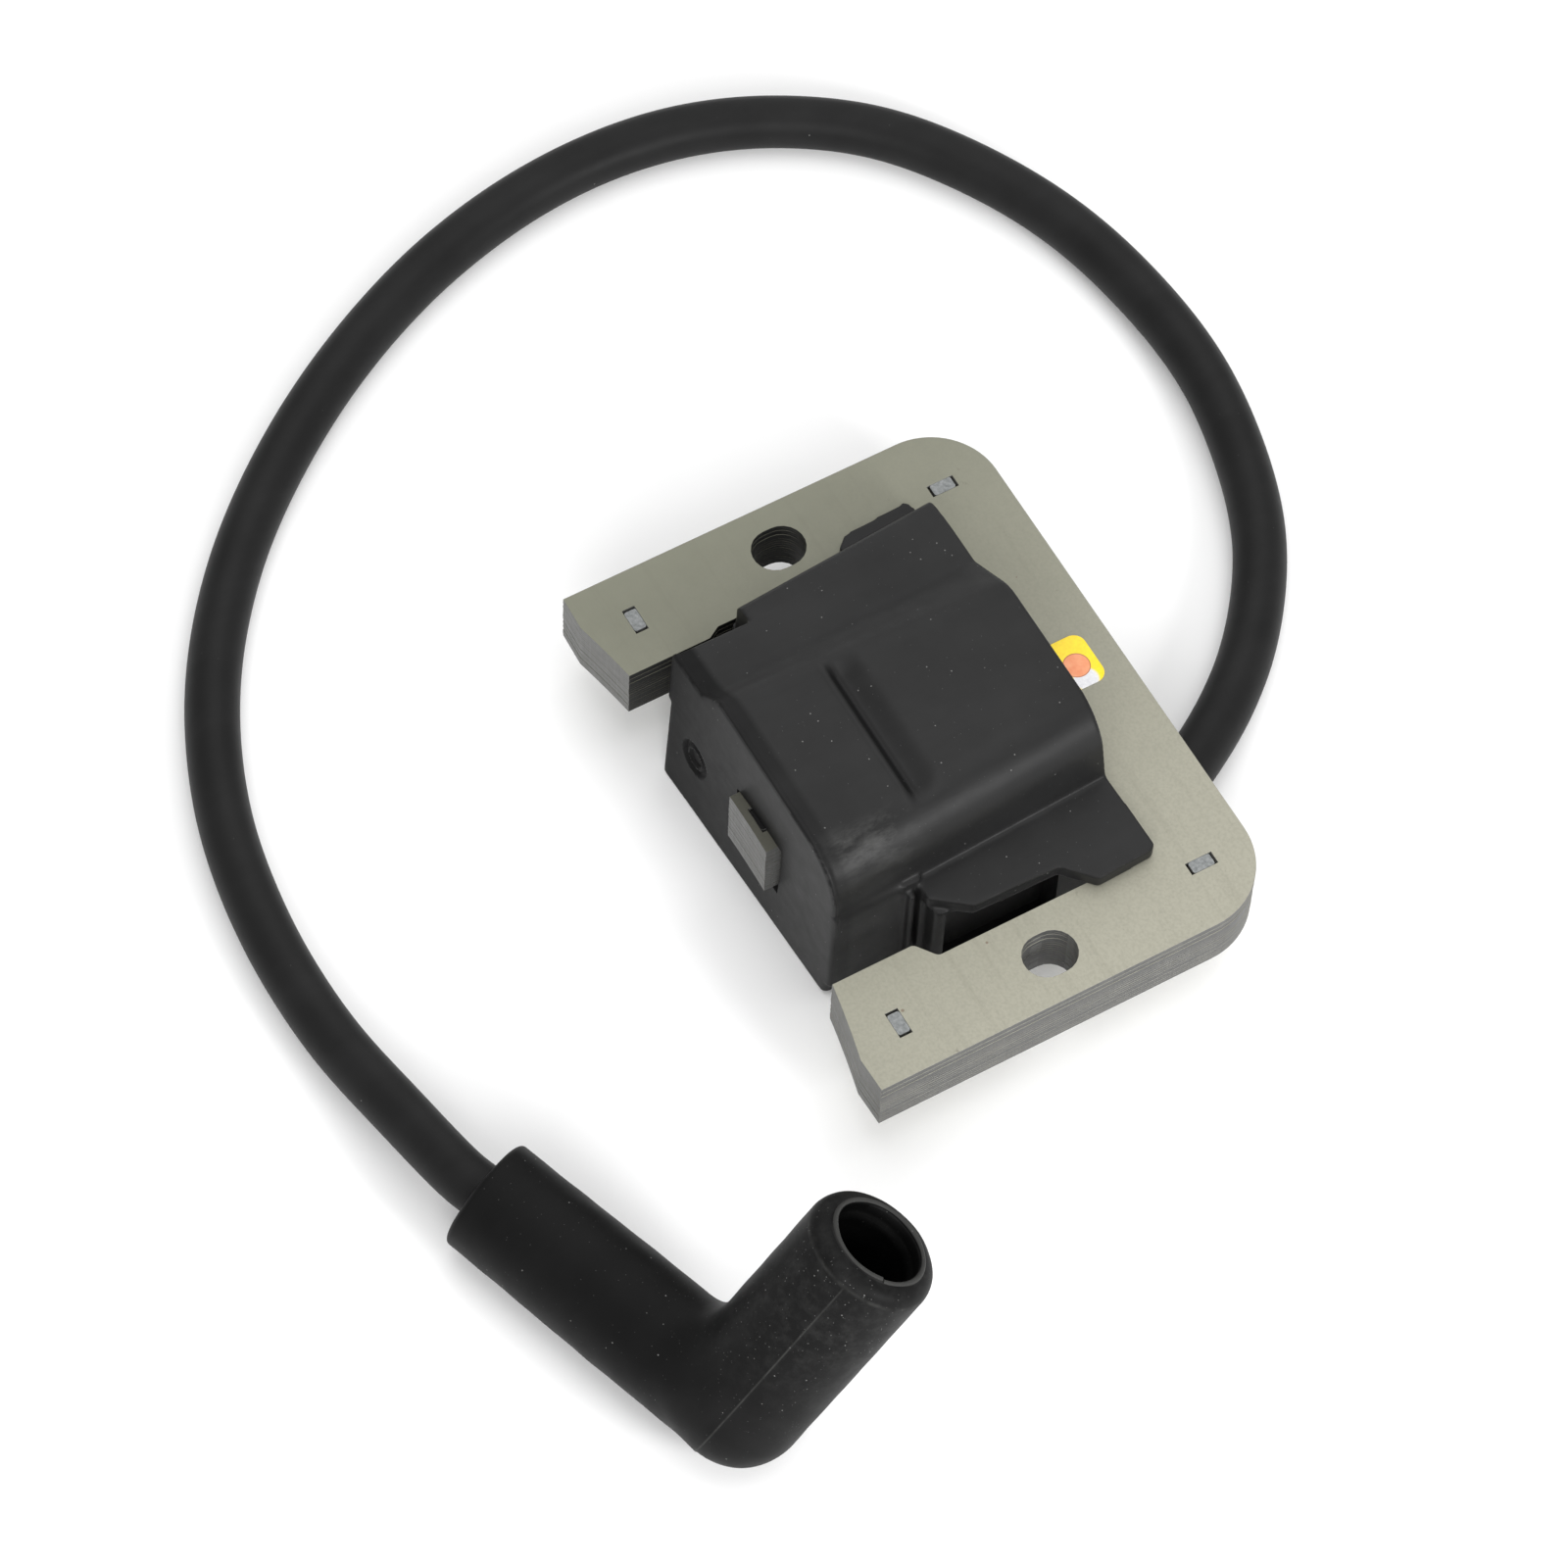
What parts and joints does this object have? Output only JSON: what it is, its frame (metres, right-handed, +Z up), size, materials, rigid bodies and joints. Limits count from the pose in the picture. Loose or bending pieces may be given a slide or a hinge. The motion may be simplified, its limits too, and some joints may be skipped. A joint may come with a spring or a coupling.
{
  "type": "ignition coil",
  "caption": "Flywheel ignition coil with a laminated three-leg core, a potted coil housing and a high-tension lead that ends in an angled spark plug boot.",
  "frame": {"origin": "centre of the base of the coil module, without its lead and boot, on the surface that it stands on", "axes": "+X across the core legs, +Y from the pole ends to the yoke, +Z up from the potted side to the top of the housing"},
  "size_m": [0.1798, 0.1513, 0.0382],
  "materials": {
    "core_steel": "satin, slightly stained",
    "bar_steel": "satin cut edges",
    "housing_plastic": "matte moulded",
    "potting_resin": "glossy cast",
    "bobbin_nylon": "natural nylon",
    "magnet_wire": "enamelled copper",
    "fine_magnet_wire": "enamelled copper",
    "board_laminate": "glass laminate",
    "capacitor_case": "dipped film",
    "device_case": "moulded case",
    "resistor_body": "lacquered",
    "tinned_steel": "tinned",
    "tinned_brass": "tinned brass",
    "lead_jacket": "satin extruded jacket",
    "copper_strand": "bare strand",
    "spring_wire": "drawn wire",
    "boot_rubber": "dusty moulded rubber",
    "sticker_vinyl": "printed film"
  },
  "bodies": {
    "module": {"core_frame": "core_steel", "core_centre_bar": "bar_steel", "coil_housing": "housing_plastic", "potting_compound": "potting_resin", "input_coil_bobbin": "bobbin_nylon", "input_coil_winding": "magnet_wire", "trigger_coil_winding": "magnet_wire", "primary_bobbin": "bobbin_nylon", "primary_winding": "magnet_wire", "secondary_bobbin": "bobbin_nylon", "secondary_winding": "fine_magnet_wire", "winding_leads": "magnet_wire", "circuit_board": "board_laminate", "storage_capacitor": "capacitor_case", "silicon_switch": "device_case", "rectifier_diodes": "device_case", "gate_resistors": "resistor_body", "ground_strap": "tinned_steel", "kill_terminal": "tinned_brass", "ht_contact_pin": "tinned_brass", "ht_lead_jacket": "lead_jacket", "ht_lead_conductor": "copper_strand", "inspection_sticker": "sticker_vinyl"},
    "boot": {"spark_plug_boot": "boot_rubber", "plug_contact_spring": "spring_wire"}
  },
  "joints": [
    {"name": "boot_twist", "type": "hinge", "parent": "module", "child": "boot", "pos_m": [0.0248, -0.0742, 0.0076], "axis": [0.9489, 0.3147, 0.0235], "range_deg": [-40, 120]}
  ]
}
